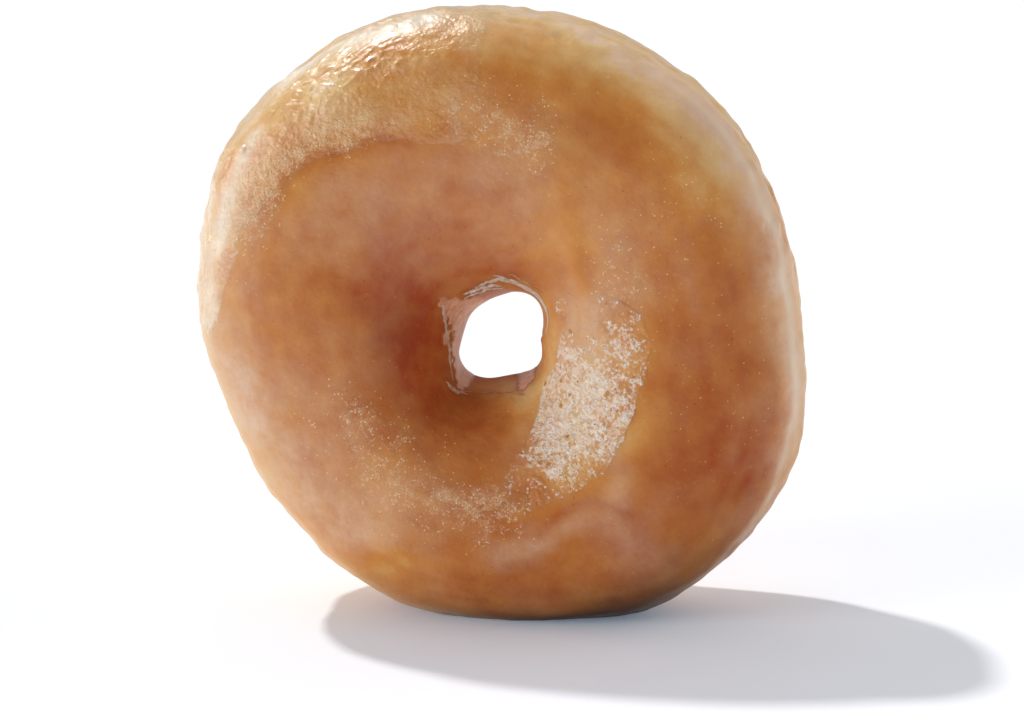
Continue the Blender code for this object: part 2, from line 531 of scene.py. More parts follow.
# %% Frost and clear glaze
FACE_GLAZE = 0.13
RIM_GLAZE = 0.42
FROST_PATCHES = (
    (89, 76, 4, 4, 66), (79, 80, 3, 4, 80), (98, 70, 3.5, 4, 34), (118, 43, 8, 4, 45), (128, 36, 7, 3, 30),
    (111, 50, 4, 3, 35), (148, 57, 7, 2.6, 60), (158, 58, 5, 3, 35), (204, 96, 6, 5, 30),
    (222, 98, 8, 7, 38), (240, 92, 7, 6, 36), (260, 90, 7, 4, 32), (272, 100, 4.5, 4, 60),
    (270, 105, 4, 3, 50), (36, 96, 6, 4, 34), (20, 108, 6, 4, 40), (40, 60, 9, 6, 22), (350, 72, 14, 8, 12),
    (40, 260, 12, 6, 50), (140, 290, 12, 6, 45), (225, 262, 12, 6, 50), (310, 298, 10, 6, 40),
)
FROST_STROKES = (
    (2.9, 95, ((158, 52), (150, 55), (142, 59), (134, 62), (126, 67), (119, 70))),
    (2.4, 30, ((117, 70), (109, 73), (100, 75))),
    (2.4, 20, ((196, 94), (207, 100), (218, 108), (230, 110), (242, 104), (256, 96), (268, 90))),
)
WET_PATCHES = (
    (112, 26, 14, 5, 65), (124, 24, 10, 5, 60), (122, 46, 9, 4, 45), (152, 38, 12, 4, 90),
    (172, 40, 10, 5, 60), (300, 320, 16, 5, 70), (60, 330, 16, 5, 70),
)


def frost_density(at):
    """Sum of the frosted patches and strokes."""
    return at.patches(FROST_PATCHES) + at.strokes(FROST_STROKES)


def wetness(at):
    """Weight of the clear glaze: a share that falls away from the rim, less on the right and below."""
    thin = FACE_GLAZE + RIM_GLAZE * (1 - smooth_step(at.from_rim, 22 * DEGREE, 50 * DEGREE))
    thin *= 1 - smooth_step(at.from_rim, 112 * DEGREE, 134 * DEGREE)
    thin *= 1 - 0.8 * bell(at.clock, 5 * DEGREE, 60 * DEGREE)
    thin *= 1 - 0.9 * bell(at.clock, 285 * DEGREE, 45 * DEGREE)
    return thin + at.patches(WET_PATCHES)


print("mean frost", mean_of(frost_density(survey_places)), "and wetness", mean_of(wetness(survey_places)))

# %% [markdown]
# ## The pale line and the torn band
#
# The edge of the pale band shows as a whitish line, clearest on the right. In the hole the dough was torn
# and never browned. Both follow the ring, so their places are tables by clock angle, read like a dial.

# %% Edges of the line and the band
# The front edge of the pale band round the rim, by clock angle, in degrees
PALE_EDGE = (
    (0, 33), (8, 36), (13, 37), (24, 34), (34, 32), (45, 31), (90, 28), (150, 36), (220, 38), (300, 34),
)
PALE_EDGE_WIDTH = 2.8 * DEGREE
# The front edge of the torn dough in the hole, by clock angle, and how clearly it shows there
TORN_EDGE = (
    (0, 158), (32, 151), (54, 149), (78, 148), (94, 148), (108, 149), (119, 150), (132, 145), (140, 141),
    (145, 145), (156, 151), (176, 154), (191, 158), (208, 161), (222, 158), (230, 158), (242, 162),
    (270, 162), (296, 159), (316, 162),
)
TORN_STRENGTH = (
    (0, 0.05), (34, 0.2), (44, 0.35), (80, 0.35), (108, 0.4), (124, 0.75), (140, 0.9), (210, 1), (226, 0.8),
    (236, 0.2), (288, 0.25), (300, 0.65), (312, 0.6), (322, 0.08),
)


# %% Pale line and torn band
def round_table(clock, table):
    """The table's value at each clock angle, blended along straight lines round the ring."""
    degrees, values = np.array(table, float).T
    return np.interp(np.degrees(clock) % 360, degrees, values, period=360)


def pale_line(at):
    """1 on the whitish edges of the pale band, fading slowly towards the rim, mostly on the right side."""
    away = at.from_rim + 3 * DEGREE * at.noise(4, 35) - np.radians(round_table(at.clock, PALE_EDGE))
    away = np.where(away < 0, away * 0.5, away)
    strength = 0.05 + 0.75 * bell(at.clock, 12 * DEGREE, 46 * DEGREE)
    strength *= 1 + 0.5 * at.noise(2.4, 39)
    return strength * np.exp(-((away / PALE_EDGE_WIDTH) ** 2))


def torn_band(at):
    """1 where the dough in the hole was torn and never browned, with an edge made ragged by noise."""
    ragged = 5 * DEGREE * at.noise(2.2, 37) + 4 * DEGREE * at.noise(0.8, 38)
    from_rim = math.pi - np.abs(angle_from(at.section, math.pi))
    inside = from_rim + ragged - np.radians(round_table(at.clock, TORN_EDGE))
    return round_table(at.clock, TORN_STRENGTH) * smooth_step(inside, 0, 5 * DEGREE)


print("mean pale line", mean_of(pale_line(survey_places)))
print("mean torn band", mean_of(torn_band(survey_places)))

# %% [markdown]
# ## Runs with an outline
#
# A run of glaze or a crust of crystals has an outline of its own: for each clock angle, the section angles
# where it starts and ends. How far a place is inside the outline tells how thick the run is there.

# %% Outlines
# Clock angle, and the section angles where the crackled crust starts and ends
FROST_EDGES = (
    (-99, 92, 97), (-92, 93, 105), (-84, 95, 117), (-78, 96, 126), (-70, 98, 131), (-60, 100, 139),
    (-48, 101, 150), (-36, 101, 157), (-27, 103, 155), (-15, 102, 148), (-5, 98, 145), (6, 95, 143),
    (16, 97, 141), (24, 103, 134), (30, 110, 136), (36, 120, 142), (46, 130, 140),
)
CRACKLE_DENSITY = 0.46
# Patches where the crust is denser, or thinner where the strength is negative
FROST_CORE = (
    (338, 142, 8, 6, 40), (316, 128, 8, 6, 50), (352, 122, 9, 6, 26), (326, 112, 9, 3, 30),
    (284, 112, 8, 7, -6), (40, 137, 2.2, 2, 40), (24, 126, 6, 8, -44), (325, 149, 5, 4, 45),
    (318, 145, 7, 4, 55), (350, 141, 9, 4, 40), (6, 106, 12, 4, 26),
)


def inside_run(at, edges):
    """Distance in mm inside the edges of a run of glaze, negative outside, made ragged by noise."""
    degrees, starts, ends = np.array(edges, float).T
    middle = (degrees[0] + degrees[-1]) / 2
    clock_degrees = middle + np.degrees(angle_from(at.clock, middle * DEGREE))
    start = np.radians(np.interp(clock_degrees, degrees, starts))
    end = np.radians(np.interp(clock_degrees, degrees, ends))
    away = angle_from(at.section, (start + end) / 2)
    inside = ((end - start) / 2 - np.abs(away)) * CUT_RADIUS / MM
    tips = np.minimum(clock_degrees - degrees[0], degrees[-1] - clock_degrees) * 0.5
    return np.minimum(inside, tips) + (0.5 * at.noise(3.0, 81) + 0.2 * at.noise(1.0, 82))


# %% Crackled crust
def crackle(at):
    """How dense the coarse crust is: thin all over its outline, and dense in the patches of its core."""
    core = at.patches(FROST_CORE) * (1 + 0.5 * at.noise(3.2, 62))
    return smooth_step(inside_run(at, FROST_EDGES), -0.1, 0.6) * (CRACKLE_DENSITY + core)


# %% All finishes
def finish_of(at):
    """Every finish at these places, by name."""
    return {
        "browning": browning(at),
        # painted shade near the floor and deep in the hole
        "painted_shade": at.patches(PAINTED_SHADE_PATCHES),
        "milky": milky_film(at),
        "frost": frost_density(at) * (1 + 0.5 * at.noise(2.5, 61) + 0.3 * at.noise(1.0, 63)),
        "crackle": crackle(at),
        "wet": wetness(at),
        "pale_line": pale_line(at),
        "torn": torn_band(at),
    }


print("the crackled crust covers", mean_of(crackle(survey_places) > 0), "of the ring")

# %% [markdown]
# ## Meshes from grids
#
# Every piece is a grid of points over the two angles. A torus closes on itself both ways. A layer that lies
# on part of the skin stays open, sinks below the skin all round its edge, and so has no edge to be seen.


# %% Mesh helpers
def grid_faces(rows, columns, closed_rows, closed_columns):
    """Corner numbers of the four-sided faces of a grid, whose last row or column may join the first."""
    row = np.arange(rows if closed_rows else rows - 1)[:, None]
    column = np.arange(columns if closed_columns else columns - 1)[None, :]
    next_row = (row + 1) % rows
    next_column = (column + 1) % columns
    corners = [row * columns + column, next_row * columns + column]
    corners += [next_row * columns + next_column, row * columns + next_column]
    return np.stack(np.broadcast_arrays(*corners), axis=-1).reshape(-1, 4)


def piece(name, points, faces, material):
    """A smooth-shaded mesh object, with its place in its mesh, from arrays of points and faces."""
    mesh = bpy.data.meshes.new(name)
    mesh.from_pydata(points.reshape(-1, 3).tolist(), [], faces.tolist())
    mesh.shade_smooth()
    mesh.materials.append(material)
    made = bpy.data.objects.new(name, mesh)
    bpy.context.scene.collection.objects.link(made)
    return made


def paint(made, layers):
    """Stores one number of each layer for each point of a mesh, for its material to read."""
    for name, values in layers.items():
        layer = made.data.attributes.new(name, "FLOAT", "POINT")
        layer.data.foreach_set("value", np.clip(values, 0, 1).astype(np.float32).ravel())


print("a closed grid of 4 by 3 points has", len(grid_faces(4, 3, True, True)), "faces")

# %% [markdown]
# ## Material helpers
#
# A material is a small graph of nodes. Wiring each node by its sockets takes many lines, so this class gives
# every kind of node that is used here one short method, and a material then reads almost like a formula.


# %% Graph of nodes
class Graph:
    """A node tree. Its methods add nodes and give back what comes out of them."""

    def __init__(self, tree):
        self.tree = tree

    def fill(self, node, inputs):
        """Links inputs of a node to sockets, or sets them to plain values."""
        for name, value in inputs.items():
            if isinstance(value, bpy.types.NodeSocket):
                self.tree.links.new(value, node.inputs[name])
            else:
                node.inputs[name].default_value = value

    def node(self, kind, inputs, **settings):
        """The outputs of any node with its settings and inputs."""
        made = self.tree.nodes.new("ShaderNode" + kind)
        for name, value in settings.items():
            setattr(made, name, value)
        self.fill(made, inputs)
        return made.outputs

    def calculate(self, operation, first, second, clamp=False):
        """A Math node's result."""
        return self.node("Math", {0: first, 1: second}, operation=operation, use_clamp=clamp)[0]

    def times(self, first, second, clamp=False):
        """The product of two values."""
        return self.calculate("MULTIPLY", first, second, clamp)

    def plus(self, first, second, clamp=False):
        """The sum of two values."""
        return self.calculate("ADD", first, second, clamp)

    def minus(self, first, second, clamp=False):
        """The first value less the second."""
        return self.calculate("SUBTRACT", first, second, clamp)

    def stretch(self, value, start, end, low=0.0, high=1.0):
        """Carries start to low and end to high, and stops there."""
        inputs = {"Value": value, "From Min": start, "From Max": end, "To Min": low, "To Max": high}
        return self.node("MapRange", inputs, clamp=True)["Result"]

    def blend(self, share, first, second, **settings):
        """The first colour where share is 0 and the second where it is 1."""
        return self.node("Mix", {0: share, 6: first, 7: second}, data_type="RGBA", **settings)[2]

    def cloud(self, place, size, detail=3.0, roughness=0.5):
        """Smooth noise between about 0.3 and 0.7, with features of this size in mm."""
        inputs = {"Vector": place, "Scale": 1 / (size * MM), "Detail": detail, "Roughness": roughness}
        return self.node("TexNoise", inputs)["Fac"]

    def cells(self, place, size):
        """Random cells of this size in mm: the distance to a cell's middle, and a random number for each."""
        made = self.node("TexVoronoi", {"Vector": place, "Scale": 1 / (size * MM)})
        return made["Distance"], self.node("SeparateColor", {"Color": made["Color"]})["Red"]

    def layer(self, name):
        """The number that a piece stores for each of its points under this name."""
        return self.node("Attribute", {}, attribute_name=name)["Fac"]

    def bump(self, height, distance, **under):
        """A normal tilted by a height that is this many mm at 1, over another normal if one is given."""
        return self.node("Bump", {"Height": height, "Distance": distance * MM, **under})["Normal"]

    def ramp(self, share, stops):
        """A colour ramp with stops of (position, colour)."""
        made = self.tree.nodes.new("ShaderNodeValToRGB")
        self.fill(made, {"Fac": share})
        elements = made.color_ramp.elements
        while len(elements) < len(stops):
            elements.new(1.0)
        for element, (position, colour) in zip(elements, stops):
            element.position = position
            element.color = colour
        return made.outputs["Color"]


# %% [markdown]
# An effect that several materials share is a node group, built once. Its sockets tell what it needs and what
# it gives, and every material places it with values of its own.


# %% Groups and materials
def new_group(name, inputs, outputs):
    """An empty group: its graph, its inputs and its output node. A socket whose name ends in Vector or Color
    is of that kind, and any other is a float."""
    group = bpy.data.node_groups.new(name, "ShaderNodeTree")
    for way, labels in (("INPUT", inputs), ("OUTPUT", outputs)):
        for label in labels:
            kind = label.split()[-1] if label.endswith(("Vector", "Color")) else "Float"
            group.interface.new_socket(label, in_out=way, socket_type="NodeSocket" + kind)
    return Graph(group), group.nodes.new("NodeGroupInput").outputs, group.nodes.new("NodeGroupOutput")


def new_material(name):
    """A material with its graph and its Principled shader."""
    made = bpy.data.materials.new(name)
    made.use_nodes = True
    return made, Graph(made.node_tree), made.node_tree.nodes["Principled BSDF"]


# %% [markdown]
# ## Sugar crystals
#
# Frosted glaze is a film that broke into tiny crystals. Where it is dense it covers the skin in whitish
# grains with pores between them, and where it is thin only single grains sparkle: these sparkles are painted
# glints, a near-white colour put on random grains whatever the light. It is fine as dust on the shoulder and
# coarse beside the hole, so one node group takes the size of the grains as an input. It turns a place and a
# density into a cover, painted glints, pores and the height of a bump.


# %% Crystal group
def crystal_group():
    """Domed grains where noise is above a level that falls with density, and a painted glint on some grains
    at random.
    """
    inputs = ("Vector", "Density", "Grain", "Softness", "Pore Share", "Glint Share")
    graph, given, wanted = new_group("sugar_crystals", inputs, ("Cover", "Sparkle", "Pores", "Height"))
    scale = graph.calculate("DIVIDE", 1.0, given["Grain"])
    place = graph.node("VectorMath", {0: given["Vector"], "Scale": scale}, operation="SCALE")["Vector"]
    fine = graph.cloud(place, 1.0, 2.0, 0.6)
    broad = graph.cloud(place, 3.2, 2.0, 0.5)
    mixed = graph.plus(graph.times(fine, 0.6), graph.times(broad, 0.4))
    over = graph.minus(mixed, graph.stretch(given["Density"], 0.0, 1.0, 0.70, 0.42))
    there = graph.stretch(graph.calculate("DIVIDE", over, given["Softness"]), -0.3, 1.0)
    grain_distance, grain_random = graph.cells(place, 0.8)
    cover = graph.times(there, graph.stretch(grain_random, 0.0, 1.0, 0.35, 1.0))
    share = graph.times(given["Density"], graph.stretch(broad, 0.4, 0.6, 0.3, 1.7))
    share = graph.times(share, given["Glint Share"])
    # Painted glints: a few random grains, more where the frost is dense, are marked to take a near-white
    # colour
    lit = graph.stretch(graph.plus(grain_random, share), 0.992, 1.03)
    sparkle = graph.times(lit, graph.stretch(grain_distance, 0.6, 0.2))
    pore_distance, pore_random = graph.cells(place, 2.6)
    pore_edge = graph.minus(graph.stretch(pore_random, 0.45, 1.0, 0.0, 0.34), pore_distance)
    pores = graph.times(graph.stretch(pore_edge, 0.0, 0.12), given["Pore Share"])
    raised = graph.times(cover, graph.stretch(grain_distance, 0.6, 0.0, 0.3, 1.0))
    raised = graph.plus(raised, graph.times(sparkle, 0.5))
    height = graph.minus(raised, graph.times(pores, 0.5))
    graph.fill(wanted, {"Cover": cover, "Sparkle": sparkle, "Pores": pores, "Height": height})
    return graph.tree


CRYSTALS = crystal_group()
print("the crystal group has", len(CRYSTALS.nodes), "nodes")

# %% [markdown]
# ## Fried dough
#
# The dough runs from cream through gold and amber to a deep red brown, so a colour ramp reads the browning.
# Every material that shows dough uses this group, so the skin and the layers on it agree where they meet.

# %% Colours of fried dough
CREAM = (0.80, 0.57, 0.37, 1)
STRAW = (0.76, 0.49, 0.20, 1)
PALE_GOLD = (0.70, 0.38, 0.125, 1)
GOLDEN = (0.63, 0.26, 0.056, 1)
AMBER = (0.51, 0.162, 0.032, 1)
CHESTNUT = (0.44, 0.116, 0.022, 1)
RUSSET = (0.41, 0.084, 0.013, 1)
RED_BROWN = (0.38, 0.053, 0.007, 1)
BROWNING_STOPS = (
    (0.0, CREAM), (0.12, STRAW), (0.28, PALE_GOLD), (0.46, GOLDEN),
    (0.70, AMBER), (0.84, CHESTNUT), (0.93, RUSSET), (1.0, RED_BROWN),
)


# %% Fried dough group
def dough_group():
    """A ramp from cream to red brown, mottled by noise, with light and dark specks, under a milky film."""
    inputs = ("Vector", "Browning", "Milky", "Film Color")
    graph, given, wanted = new_group("fried_dough", inputs, ("Color", "Film"))
    place = given["Vector"]
    mottle = graph.stretch(graph.cloud(place, 3.0, 6.0, 0.6), 0.3, 0.7, -0.08, 0.08)
    speck_distance, speck_random = graph.cells(place, 1.3)
    speck = graph.stretch(speck_distance, 0.16, 0.05)
    dark = graph.times(speck, graph.stretch(speck_random, 0.80, 0.85, 0.0, 0.22))
    light = graph.times(speck, graph.stretch(speck_random, 0.16, 0.12, 0.0, 0.26))
    value = graph.plus(graph.plus(given["Browning"], mottle), graph.minus(dark, light), clamp=True)
    uneven = graph.stretch(graph.cloud(place, 1.6, 5.0, 0.6), 0.3, 0.7, 0.70, 1.30)
    film = graph.times(given["Milky"], uneven, clamp=True)
    colour = graph.blend(film, graph.ramp(value, BROWNING_STOPS), given["Film Color"])
    graph.fill(wanted, {"Color": colour, "Film": film})
    return graph.tree


FRIED_DOUGH = dough_group()
print("the dough group has", len(FRIED_DOUGH.nodes), "nodes")

# %% [markdown]
# ## Crust under glaze
#
# The skin's material blends the dough's colour with a painted shade near the floor and deep in the hole, the
# pale line, the torn band and the crystals, whose sparkles are painted glints. The clear glaze is the
# shader's coat, and light goes a little way into the dough and comes out warmer, which is what subsurface
# scattering is for. A fine bump gives the skin its orange peel.

# %% Colours of glaze and sugar
MILKY = (0.72, 0.49, 0.34, 1)
# Whitish film of the thick glaze, which along the upper left rim also paints a sheen
WHITE_MILK_AND_SHEEN = (0.86, 0.75, 0.60, 1)
TORN_DOUGH = (0.58, 0.26, 0.13, 1)
PALE_LINE = (0.77, 0.63, 0.47, 1)
# Near-black brown that paints shade near the floor and deep in the hole
PAINTED_SHADE_BROWN = (0.045, 0.012, 0.003, 1)
SUGAR = (0.90, 0.68, 0.45, 1)
GOLDEN_SUGAR = (0.82, 0.57, 0.33, 1)
PEBBLED_SUGAR = (0.85, 0.55, 0.27, 1)
# Glint colours are painted highlights that random grains take on, and they also lighten the sugar where
# grains are dense; the crackle uses white sugar as its glint
WHITE_SUGAR = (0.99, 0.90, 0.81, 1)
GOLDEN_GLINT = (0.96, 0.69, 0.39, 1)
PALE_GLINT = (0.97, 0.74, 0.48, 1)
PORE_BROWN = (0.58, 0.25, 0.05, 1)


# %% Crust material
def glazed_material(
    name, layer="frost", grain=0.34, softness=0.16, pores=0.0, glints=0.13, sugar=GOLDEN_SUGAR,
    glint=GOLDEN_GLINT, cover=0.55, gloss=0.2, roughness=0.32, bump=0.07, peel=0.14, film=MILKY, coat=0.15,
):
    """Dough and film, the crystals of one layer in grains of one size in mm, and a clear coat this rough."""
    made, graph, shader = new_material(name)
    place = graph.node("TexCoord", {})["Object"]
    density = graph.layer(layer)
    given = {"Vector": place, "Browning": graph.layer("browning"), "Milky": graph.layer("milky")}
    dough = graph.node("Group", given | {"Film Color": film}, node_tree=FRIED_DOUGH)
    colour = dough["Color"]
    # Painted shade near the floor and in the hole darkens the colour first, then come the torn band and the
    # pale line
    for label, tint in (("painted_shade", PAINTED_SHADE_BROWN), ("torn", TORN_DOUGH), ("pale_line", PALE_LINE)):
        colour = graph.blend(graph.layer(label), colour, tint)
    # A glossier layer mirrors more of the white room, so its own colour is taken a little darker
    gleam = 0.03 * (gloss - 0.2)
    colour = graph.blend(1.0, colour, (gleam, gleam, gleam, 1), blend_type="SUBTRACT", clamp_result=True)
    given = {"Vector": place, "Density": density, "Grain": grain, "Softness": softness}
    given |= {"Pore Share": pores, "Glint Share": glints}
    crystals = graph.node("Group", given, node_tree=CRYSTALS)
    dense = graph.stretch(density, 0.75, 1.0, 0.0, 0.5)
    lighter = graph.plus(graph.stretch(graph.cloud(place, 1.0), 0.42, 0.58), dense, clamp=True)
    tone = graph.blend(lighter, sugar, glint)
    colour = graph.blend(graph.times(crystals["Cover"], cover), colour, tone)
    colour = graph.blend(crystals["Pores"], colour, PORE_BROWN)
    # Painted glints: the marked grains take the glint colour
    colour = graph.blend(crystals["Sparkle"], colour, glint)
    wet = graph.layer("wet")
    rough = graph.plus(roughness, graph.times(dough["Film"], 0.15))
    skin_bump = graph.bump(graph.cloud(place, 0.8, 5.0), peel)
    graph.fill(shader, {
        "Base Color": colour,
        "Roughness": graph.plus(rough, graph.stretch(wet, 0.10, 0.0, 0.0, 0.35)),
        "Normal": graph.bump(crystals["Height"], bump, Normal=skin_bump),
        "Coat Weight": graph.minus(wet, dough["Film"], clamp=True),
        "Coat Roughness": coat,
        "Coat IOR": 1.5,
        "Specular IOR Level": gloss,
        "Subsurface Weight": 0.25,
        "Subsurface Radius": (1.0, 0.45, 0.18),
        "Subsurface Scale": 2.0 * MM,
    })
    return made


CRUST = glazed_material("glazed_crust")
print("the crust's material has", len(CRUST.node_tree.nodes), "nodes")

# %% [markdown]
# ## The skin
#
# The crust is one closed skin that replaces the solid. The solid could be subdivided instead, but points
# spread evenly over both angles give even faces, fine enough for every ripple.

# %% Build the skin
RING_STEPS = 580
CUT_STEPS = 168

skin_angles = whole_ring(RING_STEPS, CUT_STEPS)
skin_points, _ = skin(*skin_angles)
crust = piece("glazed_crust", stand(skin_points), grid_faces(RING_STEPS, CUT_STEPS, True, True), CRUST)
skin_finish = finish_of(Places(*skin_angles, skin_points))
paint(crust, skin_finish)
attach(crust, "root")
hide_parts("doughnut")
print("the skin has", len(crust.data.polygons), "faces")
print("mean finishes", {name: mean_of(values) for name, values in skin_finish.items()})

# %% [markdown]
# ## Layers on the skin
#
# Thick glaze and crusts of sugar are laid on as separate meshes, fine enough for wrinkles and grains. A
# layer is the skin's own function plus a thickness, and where the thickness is negative it dips under the
# skin.

# %% Layer helper
HIDDEN_DEPTH = -0.06 * MM


def layer_piece(name, area, spacing, thickness, material):
    """A grid over an area of the skin, pushed outwards by a thickness, without its deeply sunk faces."""
    first_clock, last_clock, first_section, last_section = np.radians(area)
    middle = place_on(smooth_ring, (area[0] + area[1]) / 2, (area[2] + area[3]) / 2)
    rows = int((last_clock - first_clock) * np.hypot(middle[0], middle[2]) / (spacing * MM))
    columns = int((last_section - first_section) * CUT_RADIUS / (spacing * MM))
    whole = area[1] - area[0] == 360
    clock, section = np.meshgrid(
        np.linspace(first_clock, last_clock, rows, endpoint=not whole),
        np.linspace(first_section, last_section, columns),
        indexing="ij",
    )
    points, outward = skin(clock, section)
    at = Places(clock, section, points)
    thick = thickness(at)
    placed = stand(points + outward * thick[..., None]).reshape(-1, 3)
    faces = grid_faces(rows, columns, whole, False)
    faces = faces[(thick.ravel()[faces] > HIDDEN_DEPTH).any(axis=1)]
    used, corners = np.unique(faces, return_inverse=True)
    made = piece(name, placed[used], corners.reshape(-1, 4), material)
    layers = finish_of(at)
    layers["thick"] = thick / (0.5 * MM)
    paint(made, {label: values.ravel()[used] for label, values in layers.items()})
    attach(made, "root")
    print(name, "has", len(faces), "faces and is", round(float(thick.max()) / MM, 2), "mm thick at most")


# %% [markdown]
# ## Thick glaze on the upper left shoulder
#
# Here the glaze stayed thick. It ends in a ragged drip edge towards the hole, is frosted along that edge,
# and is wrinkled and wet along the rim, where it shrank as it set. The wrinkles are ridges: one minus the
# size of a noise, squared, is sharp where the noise changes sign.

# %% Places of the shoulder glaze
GLAZE_BODY = 0.20 * MM
TIP_DEPTH = 0.04 * MM
WRINKLE_LENGTH = 1.9
WRINKLE_WIDTH = 1.1
WRINKLE_HEIGHT = 0.24 * MM
# Clock angle, and the section angles where the glaze starts and ends
SHOULDER_EDGES = (
    (84, -5, 20), (92, -10, 60), (97, -15, 82), (102, -18, 84), (108, -20, 80), (114, -20, 76),
    (120, -22, 74), (126, -25, 72), (132, -22, 69), (138, -20, 67), (146, -18, 65), (152, -16, 63),
    (160, -14, 60), (168, -12, 56), (176, -8, 50), (184, 0, 40), (190, 15, 25),
)
SHOULDER_WRINKLES = (
    (112, 27, 12, 3, 18), (124, 20, 9, 4, 18), (128, 50, 9, 4, 55), (118, 43, 9, 3.4, 100),
    (111, 50, 4, 2.4, 90), (130, 34, 6, 3, 70), (152, 38, 9, 3, 35), (168, 34, 8, 4, 60),
)
# Clock angle, section angle and radius in mm
SHOULDER_BEADS = (
    (171, 33, 0.5), (176, 45, 0.35), (175, 52, 0.42), (173, 67, 0.36), (176, 62, 0.28), (164, 42, 0.4),
    (158, 33, 0.32), (110, 52, 0.45), (112, 48, 0.4), (144, 42, 0.8), (167, 48, 0.26), (180, 40, 0.34),
    (104, 40, 0.3), (98, 30, 0.34), (149, 30, 0.36), (155, 30, 0.3),
)


# %% Shape of the shoulder glaze
def wrinkles(at):
    """Ridges along the ring: one minus the size of a noise that is stretched along the ring, squared."""
    middle = (SHOULDER_EDGES[0][0] + SHOULDER_EDGES[-1][0]) / 2
    along, across = mm_from(at.clock, at.section, middle, 30)
    bend = 0.4 * noise(np.stack([along, across, 0 * along], axis=-1), 3.0, 91)
    flat = np.stack([along / WRINKLE_LENGTH, across / WRINKLE_WIDTH, bend], axis=-1)
    return 0.8 * (1 - np.abs(noise(flat, 1.0, 90))) ** 2 + 0.2 * noise(flat, 0.45, 92)


def beads(points):
    """Round drops: a height that falls with the square of the distance from each drop's middle."""
    height = np.zeros(points.shape[:-1])
    for clock, section, radius in SHOULDER_BEADS:
        share = np.linalg.norm(points - place_on(ring_form, clock, section), axis=-1) / (radius * MM)
        height = np.maximum(height, 0.55 * radius * MM * np.clip(1 - share**2, 0, 1))
    return height


def shoulder_thickness(at):
    """Body, wrinkles and beads inside the edges, fading towards both tips, and sunk outside the edges."""
    inside = inside_run(at, SHOULDER_EDGES)
    first_tip = SHOULDER_EDGES[0][0] * DEGREE
    last_tip = SHOULDER_EDGES[-1][0] * DEGREE
    from_tip = np.minimum(at.clock - first_tip, last_tip - at.clock)
    fade = smooth_step(from_tip, 4 * DEGREE, 26 * DEGREE)
    gentle = smooth_step(at.clock, 142 * DEGREE, 162 * DEGREE)
    rise = 1 - np.exp(-np.maximum(inside, 0) / (0.5 + 2.0 * gentle))
    body = GLAZE_BODY * rise * fade - TIP_DEPTH * (1 - fade)
    body *= 0.8 + 0.3 * at.noise(5, 94)
    crumple = np.clip(at.patches(SHOULDER_WRINKLES), 0, 1.2) * wrinkles(at)
    over = body + WRINKLE_HEIGHT * crumple + beads(at.points)
    return np.where(inside > 0, over, np.maximum(inside * 0.5, -0.3) * MM)


# %% [markdown]
# Thick glaze has fine golden grains in it, a stronger bump and more gloss than the crust, so it uses the
# crust's material with other values.

# %% Shoulder glaze
GLAZE = glazed_material(
    "sugar_glaze", grain=0.38, softness=0.09, glints=0.06, sugar=PEBBLED_SUGAR, gloss=0.75, roughness=0.25,
    bump=0.15, peel=0.28, film=WHITE_MILK_AND_SHEEN, coat=0.27,
)
layer_piece("shoulder_glaze", (82, 192, -28, 90), 0.2, shoulder_thickness, GLAZE)

# %% [markdown]
# ## Frost
#
# Frost is a crust of its own where it is dense: a very thin layer whose grains stand up one by one, and a
# few of them carry painted glints. Dust as fine as flour lies in veils on both faces. On the slope beside
# the hole that faces the light, the glaze dried to a coarse crackle with a sharp edge towards the hole.
# Scattering real grains would take millions of meshes, so the layer has only the clumps and its material
# draws the grains.

# %% Frost veils and crackle
VEIL_LEVEL = 0.25
VEIL_HEIGHT = 0.05 * MM
VEIL_SUNK = 0.09 * MM
CRACKLE_BASE = 0.03 * MM
CRACKLE_HEIGHT = 0.15 * MM
CRACKLE_SUNK = 0.07 * MM


def veil_thickness(at):
    """A low layer with fine bumps where the frost is denser than a level, sunk elsewhere."""
    there = smooth_step(frost_density(at), VEIL_LEVEL, 2 * VEIL_LEVEL)
    return VEIL_HEIGHT * there * (1 + 0.5 * at.noise(0.7, 105)) - VEIL_SUNK * (1 - there)


def crackle_thickness(at):
    """Clumps from two sizes of noise, as high as the crackle is dense."""
    there = smooth_step(crackle(at), 0.12, 0.6)
    clumps = 0.6 * at.noise(1.0, 101) + 0.4 * at.noise(0.45, 102)
    height = CRACKLE_BASE + CRACKLE_HEIGHT * smooth_step(clumps, -0.4, 0.6)
    return there * height - CRACKLE_SUNK * (1 - there)


VEIL = glazed_material("frost_veil", softness=0.14, glints=0.18, glint=PALE_GLINT, gloss=0.3, bump=0.14)
CRACKLE = glazed_material(
    "sugar_crackle", layer="crackle", grain=0.52, softness=0.06, pores=1.0, glints=0.16, sugar=SUGAR,
    glint=WHITE_SUGAR, cover=0.86, gloss=0.5, roughness=0.28, bump=0.24,
)
layer_piece("frost_veil", (0, 360, 40, 320), 0.34, veil_thickness, VEIL)
layer_piece("frosted_crust", (-101, 42, 88, 162), 0.14, crackle_thickness, CRACKLE)

# %% [markdown]
# ## Torn dough in the hole
#
# The hole was pressed through raw dough, and where the two faces met it tore. The torn dough hardly browned:
# it is pale, stringy and a little see-through. It is a layer with a ragged front edge and fine strings along
# the ring, which come from a noise that is stretched that way.

# %% Shape of the torn dough
TORN_HEIGHT = 0.12 * MM
TORN_SUNK = 0.05 * MM
STRING_LENGTH = 2.6
STRING_WIDTH = 0.4
DARK_CRUMB = (0.56, 0.20, 0.08, 1)
PALE_CRUMB = (0.96, 0.65, 0.46, 1)
WISP = (0.95, 0.79, 0.66, 1)


